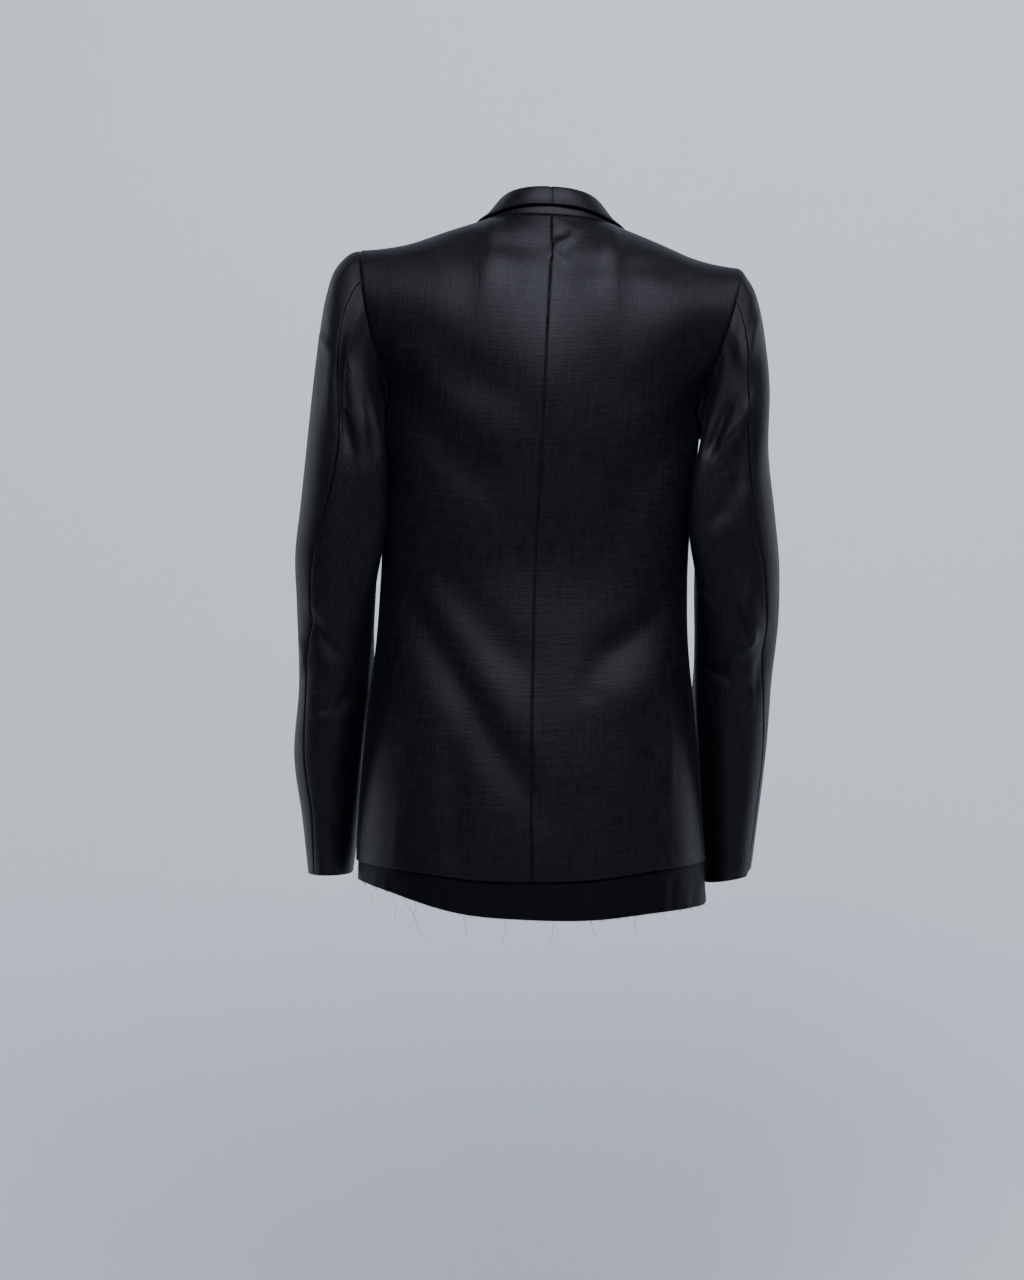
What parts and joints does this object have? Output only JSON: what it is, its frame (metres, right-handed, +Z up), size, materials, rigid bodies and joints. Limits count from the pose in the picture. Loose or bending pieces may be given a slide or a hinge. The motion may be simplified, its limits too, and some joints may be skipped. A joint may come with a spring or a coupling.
{
  "type": "jacket",
  "caption": "Slim black tailored jacket, worn shape with open neck and cuffs: narrow turned-down collar, shaped back, two-piece sleeves, raw hem let down below its old fold.",
  "frame": {"origin": "middle of the neck ring, on the line of the shoulders, where the wearer's shoulders hold the jacket up", "axes": "+Z up along the wearer's spine, +X to the wearer's left, +Y out of the wearer's back"},
  "size_m": [0.5244, 0.2548, 0.7728],
  "materials": {
    "black_silk_wool": "smooth, cool soft sheen",
    "raw_hem_cloth": "matt, frayed at its lower edge",
    "black_horn": "satin"
  },
  "bodies": {
    "root": {"back_left": "black_silk_wool", "back_right": "black_silk_wool", "button_lower": "black_horn", "button_upper": "black_horn", "collar_fall": "black_silk_wool", "collar_stand": "black_silk_wool", "front_left": "black_silk_wool", "front_right": "black_silk_wool", "hem_back_left": "raw_hem_cloth", "hem_back_right": "raw_hem_cloth", "hem_front_left": "raw_hem_cloth", "hem_front_right": "raw_hem_cloth", "hem_side_left": "raw_hem_cloth", "hem_side_right": "raw_hem_cloth", "lapel_left": "black_silk_wool", "lapel_right": "black_silk_wool", "side_left": "black_silk_wool", "side_right": "black_silk_wool", "sleeve_top_left": "black_silk_wool", "sleeve_top_right": "black_silk_wool", "sleeve_under_left": "black_silk_wool", "sleeve_under_right": "black_silk_wool"}
  },
  "joints": []
}
